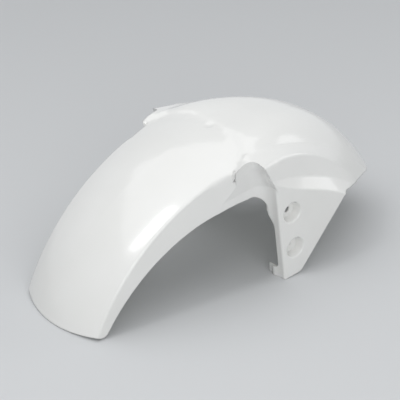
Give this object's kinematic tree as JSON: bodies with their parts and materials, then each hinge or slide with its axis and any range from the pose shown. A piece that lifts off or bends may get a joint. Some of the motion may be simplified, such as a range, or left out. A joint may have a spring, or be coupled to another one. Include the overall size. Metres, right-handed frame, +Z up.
{
  "type": "motorcycle front mudguard",
  "caption": "One-piece white moulded front mudguard with a long curved tail, fork-leg recesses and side wings with bolt pockets.",
  "frame": {"origin": "middle of the part's box, on the floor that its tail and both toes rest on", "axes": "+X forward in the riding direction, +Y to the rider's left along the wheel axle, +Z up"},
  "size_m": [0.5466, 0.238, 0.2073],
  "materials": {
    "shell": "gloss"
  },
  "bodies": {
    "root": {"mudguard": "shell"}
  },
  "joints": []
}
